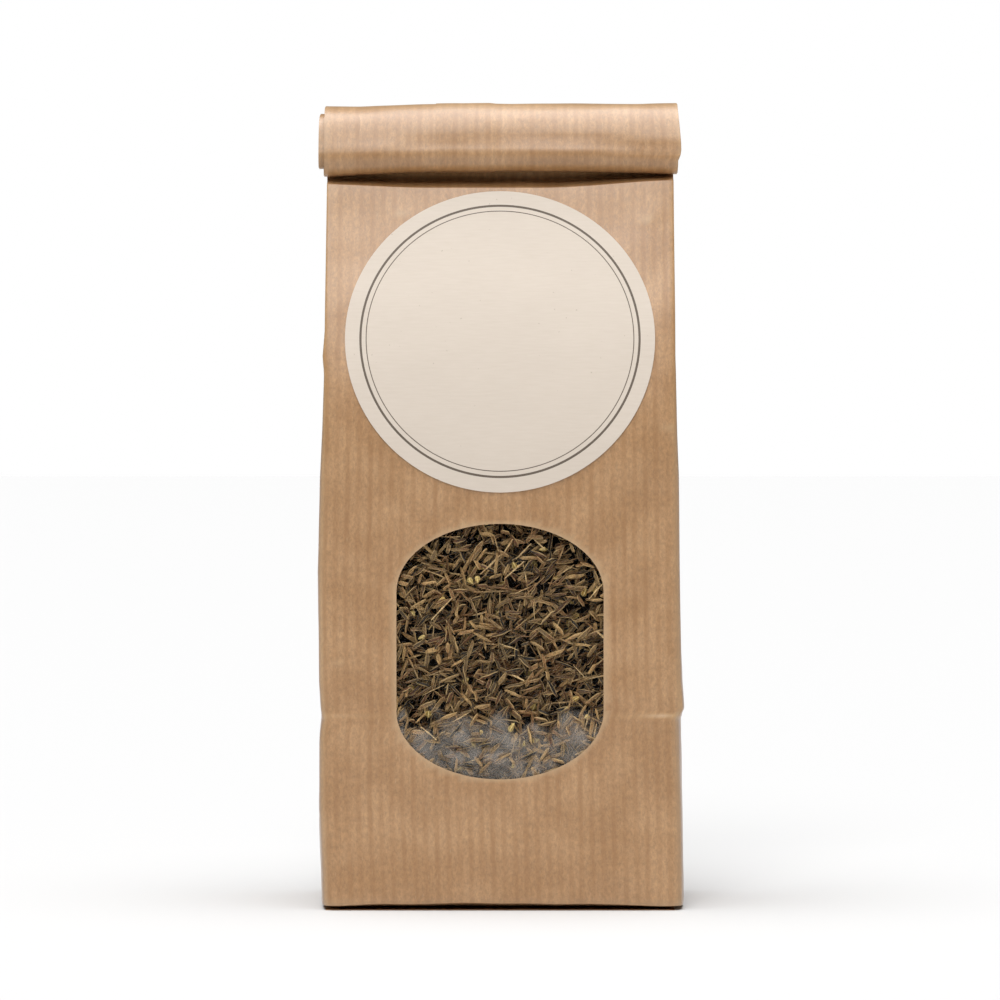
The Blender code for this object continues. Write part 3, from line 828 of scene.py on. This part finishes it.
def leaf(name, length, width, thickness, roll, bend, blunt):
    """A dried leaf: a long closed form with rolled margins, a grooved face and a bent spine."""
    begin()
    bpy.ops.mesh.primitive_uv_sphere_add(segments=7, ring_count=6, radius=1, rotation=(0, math.pi / 2, 0))
    made = named(name)
    across = []
    for vert in made.data.vertices:
        t, side, up = vert.co.x, vert.co.y, vert.co.z
        t = math.copysign(abs(t) ** 0.85, t)
        taper = max(0.0, 1 - abs(t) ** blunt) ** 0.8
        girth = math.hypot(side, up) or 1
        side, up = side / girth, up / girth
        y = side * taper * width / 2
        z = up * taper * thickness / 2
        z -= roll * width * taper * side * side
        z += 0.16 * thickness * math.sin(7 * t + side * 2)
        y += 0.09 * width * math.sin(5 * t + 3 * bend)
        across.append((0.5 + 0.5 * t, abs(side), 0))
        vert.co = (t * length / 2, y, z + bend * length * (t * t - 0.3))
    point_attribute(made, "on_leaf", across)
    return made


def stalk(name, length, width, kink):
    """A thin woody stalk, a little crooked, with a swollen node in the middle."""
    begin()
    bpy.ops.mesh.primitive_cylinder_add(vertices=5, radius=0.5, depth=1, rotation=(0, math.pi / 2, 0))
    made = named(name)
    bpy.ops.object.mode_set(mode="EDIT")
    for cut in (-0.3, -0.12, 0, 0.15, 0.33):
        bpy.ops.mesh.select_all(action="SELECT")
        bpy.ops.mesh.bisect(plane_co=(cut, 0, 0), plane_no=(1, 0, 0), threshold=0.00001)
    bpy.ops.object.mode_set(mode="OBJECT")
    across = []
    for vert in made.data.vertices:
        t = vert.co.x
        girth = width * (0.8 + 0.35 * bump(t, 0, 0.08) - 0.35 * abs(t))
        across.append((0.5 + t, 0, 0))
        vert.co = (t * length, vert.co.y * girth + kink * length * math.sin(4 * t) * abs(t),
                   vert.co.z * girth + 0.3 * kink * length * math.cos(5 * t))
    point_attribute(made, "on_leaf", across)
    return made


def calyx(name, length, width):
    """A dried flower cup: a small ribbed bell with its teeth drawn together."""
    begin()
    bpy.ops.mesh.primitive_uv_sphere_add(segments=8, ring_count=6, radius=0.5, rotation=(0, math.pi / 2, 0))
    made = named(name)
    across = []
    for vert in made.data.vertices:
        t = vert.co.x
        angle = math.atan2(vert.co.z, vert.co.y)
        ribbed = 1 + 0.22 * math.cos(4 * angle) * smooth(-0.3, 0.4, t)
        flare = width * (1 + 0.7 * t) * ribbed
        across.append((0.5 + t, 0.5 + 0.5 * math.cos(4 * angle), 0))
        vert.co = (t * length, vert.co.y * flare, 0.75 * vert.co.z * flare)
    point_attribute(made, "on_leaf", across)
    return made


CELL = 0.25 * MM
FIELD_X = 25 * MM
FIELD_LOW, FIELD_HIGH = 20.5 * MM, 80 * MM
BED_DEPTH = FILM_DEPTH + 0.12 * MM


class Bed:
    """How far the thyme already reaches in from the film, in cells over the window."""

    def __init__(self):
        wide = int(2 * FIELD_X / CELL) + 1
        tall = int((FIELD_HIGH - FIELD_LOW) / CELL) + 1
        self.depth = np.zeros((wide, tall))
        self.first = np.full((wide, tall), 1.0)

    def drop(self, x, z, angle, length, width, thickness, stiff):
        """Lays a piece down as near to the film as the others let it. Returns its depth and tilt."""
        along = np.linspace(-0.46, 0.46, 15)[:, None] * length
        across = np.linspace(-0.42, 0.42, 5)[None, :] * width
        taper = np.sqrt(np.maximum(0.05, 1 - (2 * along / length) ** 2))
        px = x + along * math.cos(angle) - across * taper * math.sin(angle)
        pz = z + along * math.sin(angle) + across * taper * math.cos(angle)
        i = np.clip(((px + FIELD_X) / CELL).astype(int), 0, self.depth.shape[0] - 1)
        j = np.clip(((pz - FIELD_LOW) / CELL).astype(int), 0, self.depth.shape[1] - 1)
        under = self.depth[i, j]
        slope = float(np.sum(under * along) / np.sum(np.broadcast_to(along ** 2, under.shape)))
        slope = max(-stiff, min(stiff, slope))
        rest = float(np.percentile(under - slope * along, 92))
        rest = max(rest, abs(slope) * 0.46 * length)
        here = rest + slope * along
        self.first[i, j] = np.where(under > 0, self.first[i, j], np.minimum(self.first[i, j], here))
        self.depth[i, j] = np.maximum(under, here + thickness)
        return rest + thickness / 2, slope

    def touching(self, x, z):
        """1 where a piece presses on the film, falling to 0 where the nearest one is well behind it."""
        i = min(self.first.shape[0] - 1, max(0, int((x + FIELD_X) / CELL)))
        j = min(self.first.shape[1] - 1, max(0, int((z - FIELD_LOW) / CELL)))
        near = np.minimum(self.first[max(0, i - 2):i + 3, max(0, j - 2):j + 3], 1 * MM)
        return 1 - smooth(0.12 * MM, 0.75 * MM, float(near.mean()))


def lie(x, z, angle, depth, slope, turn, scale):
    """The place of a piece behind the film: along its angle, tilted by its slope and turned on itself."""
    ahead = Vector((math.cos(angle), slope, math.sin(angle))).normalized()
    out = Vector((0, -1, 0))
    side = out.cross(ahead).normalized()
    out = ahead.cross(side)
    axes = Matrix((ahead, side, out)).transposed().to_4x4()
    place = Vector((x, front_y(x, z) + BED_DEPTH + depth, z))
    return Matrix.Translation(place) @ axes @ Matrix.Rotation(turn, 4, "X") @ Matrix.Diagonal((*scale, 1))


def gather(name, parts, look, slot, nodes):
    """Copies each modelled piece to its places, each copy with its own mesh and its tone with painted shade,
    and joins them.
    """
    begin()
    copies = []
    for model, places in parts:
        for place, tone_and_painted_shade in places:
            copy = model.copy()
            copy.data = model.data.copy()
            copy.data.transform(place)
            point_attribute(copy, "tone_and_painted_shade", [tone_and_painted_shade] * len(copy.data.vertices), "FLOAT")
            bpy.context.scene.collection.objects.link(copy)
            copies.append(copy)
    for copy in copies:
        copy.select_set(True)
    bpy.context.view_layer.objects.active = copies[0]
    bpy.ops.object.join()
    finish_piece(named(name), slot, look, *nodes)


def centred(model):
    """Moves a modelled piece to the middle of its own thickness, and returns that thickness."""
    heights = [vert.co.z for vert in model.data.vertices]
    low, high = min(heights), max(heights)
    model.data.transform(Matrix.Translation((0, 0, -(low + high) / 2)))
    return high - low


def numbered(kind):
    """The frame's nodes of a kind, such as every leaf."""
    return sorted(name for name in frame["nodes"] if name.startswith(kind + "_"))


# The models: each starts with its length and width, in mm
LEAVES = (                      # then thickness in mm, roll of the margins, bend and bluntness
    (4.1, 0.78, 0.56, 0.20, 0.02, 2.6),
    (3.5, 0.64, 0.58, 0.26, -0.03, 3.4),
    (4.4, 0.56, 0.50, 0.32, 0.03, 3.2),
    (2.8, 0.84, 0.48, 0.16, 0.03, 4.2),
    (3.7, 0.46, 0.46, 0.22, 0.04, 3.8),
    (2.2, 0.58, 0.44, 0.20, -0.02, 6.0),
)
STALKS = ((6.4, 0.36, 0.04), (4.8, 0.28, 0.06), (3.4, 0.42, 0.03), (4.4, 0.20, 0.07))     # then kink
CALYXES = ((1.9, 0.95), (1.4, 0.75))
COMMON = {"leaf": 12, "stalk": 4.6, "calyx": 1.8}       # how often each model of a kind is laid
PIECES = 5600


def loose_thyme(leaf_look, stalk_look, calyx_look):
    """Thousands of leaves, stalks and flower cups, laid one by one against the film."""
    kinds = []
    for index, (length, width, thickness, roll, bend, blunt) in enumerate(LEAVES):
        model = leaf(f"leaf_model_{index}", length * MM, width * MM, thickness * MM, roll, bend, blunt)
        kinds.append(("leaf", model, length * MM, width * MM, centred(model)))
    for index, (length, width, kink) in enumerate(STALKS):
        model = stalk(f"stalk_model_{index}", length * MM, width * MM, kink)
        kinds.append(("stalk", model, length * MM, width * MM, centred(model)))
    for index, (length, width) in enumerate(CALYXES):
        model = calyx(f"calyx_model_{index}", length * MM, width * MM)
        kinds.append(("calyx", model, length * MM, width * MM, centred(model)))
    weights = [COMMON[kind[0]] for kind in kinds]
    laid = {kind[1].name: [] for kind in kinds}
    bed = Bed()
    for _ in range(PIECES):
        _, model, length, width, thickness = RANDOM.choices(kinds, weights)[0]
        scale = RANDOM.uniform(0.72, 1.12)
        x = RANDOM.uniform(-FIELD_X + 1 * MM, FIELD_X - 1 * MM)
        z = RANDOM.uniform(FIELD_LOW + 1 * MM, FIELD_HIGH - 1 * MM)
        flow = 0.45 + 0.7 * wrinkle(x, z, 14 * MM, 9.3)
        angle = RANDOM.gauss(flow, 0.7) + (math.pi / 2 if RANDOM.random() < 0.2 else 0)
        angle += RANDOM.choice((0, math.pi))
        depth, slope = bed.drop(x, z, angle, length * scale, width, thickness * 0.9, 0.35)
        turn = RANDOM.gauss(0, 0.35) + (math.pi if RANDOM.random() < 0.5 else 0)
        paler = 0.36 + 0.5 * wrinkle(x, z, 6 * MM, 1.7) + 0.25 * smooth(CREASE_Z, CREASE_Z - 4 * MM, z)
        # Pieces deep behind the film are painted darker: painted shade on top of their own random tone
        tone_and_painted_shade = min(1, max(0, RANDOM.gauss(paler, 0.36) - 0.25 * smooth(0.6 * MM, 2.4 * MM, depth)))
        place = lie(x, z, angle, depth, slope, turn, (scale, RANDOM.uniform(0.85, 1.15), 1))
        laid[model.name].append((place, tone_and_painted_shade))
    groups = (("thyme_leaves_broad", "leaf", (0, 3, 5), leaf_look, "thyme_leaf"),
              ("thyme_leaves_narrow", "leaf", (1, 2, 4), leaf_look, "thyme_leaf"),
              ("thyme_stalks", "stalk", (0, 1, 2, 3), stalk_look, "thyme_stalk"),
              ("thyme_calyxes", "calyx", (0, 1), calyx_look, "thyme_calyx"))
    for name, kind, chosen, look, slot in groups:
        models = [bpy.data.objects[f"{kind}_model_{index}"] for index in chosen]
        gather(name, [(model, laid[model.name]) for model in models], look, slot, numbered(kind))
    for _, model, *_ in kinds:
        bpy.data.objects.remove(model)
    return bed


def packed_thyme(look):
    """The rest of the filling, as one rough body behind the loose pieces. Its near-black colour is painted
    shade for the deep gaps.
    """
    begin()
    bpy.ops.mesh.primitive_cube_add(size=2)
    mass = named("packed_thyme")
    bpy.ops.object.mode_set(mode="EDIT")
    bpy.ops.mesh.subdivide(number_cuts=39)
    bpy.ops.object.mode_set(mode="OBJECT")
    # It follows the paper's walls and tucked sides at a distance, and stands back from the window
    for vert in mass.data.vertices:
        across, deep, up = vert.co
        z = MASS_LOW.z + 0.6 * MM + (MASS_HIGH.z - MASS_LOW.z - 4 * MM) * (up + 1) / 2
        wall = half_depth(z)
        tuck = math.sqrt(max(0, (BAG_DEPTH / 2) ** 2 - wall ** 2))
        y = deep * (wall - 1.8 * MM)
        room = 3.4 * MM + 3 * MM * smooth(88 * MM, 112 * MM, z)
        x = across * (BAG_WIDTH / 2 - room - tuck * (1 - abs(y) / wall))
        if deep < 0:
            y += -deep * 4.6 * MM * smooth(0, 6 * MM, BAG_WIDTH / 2 - abs(x))
        rough = 0.7 * MM * noise.noise(Vector((x, y, z)) / (2.2 * MM))
        vert.co = (x, y + rough, z + 0.5 * rough)
    point_attribute(mass, "on_leaf", [(0.5, 0, 0)] * len(mass.data.vertices))
    point_attribute(mass, "tone_and_painted_shade", [0.1] * len(mass.data.vertices), "FLOAT")
    finish_piece(mass, "packed_thyme", look, "thyme_mass")


def build():
    """Everything, from the camera to the last leaf."""
    studio()
    kraft = ribbed_kraft()
    kraft_bag(kraft)
    bottom_flaps(kraft)
    round_label(label_paper())
    leaf_look = dried_herb("dried_thyme_leaf", "#1d160e", "#ad8b5a", "#dab980", "#7b4f2c", 0.56)
    stalk_look = dried_herb("dried_thyme_stalk", "#664b2b", "#dcbd88", "#dcbd88", "#8d6138", 0.6)
    calyx_look = dried_herb("dried_thyme_calyx", "#8f763a", "#dcc078", "#ecd99c", "#b38a42", 0.6)
    bed = loose_thyme(leaf_look, stalk_look, calyx_look)
    window_film(clear_film(), bed)
    # The packed body's near-black colours are painted shade
    packed_thyme(dried_herb("packed_thyme_painted_shade", "#120d08", "#20180f", "#20180f", "#1a120a", 0.9))


build()
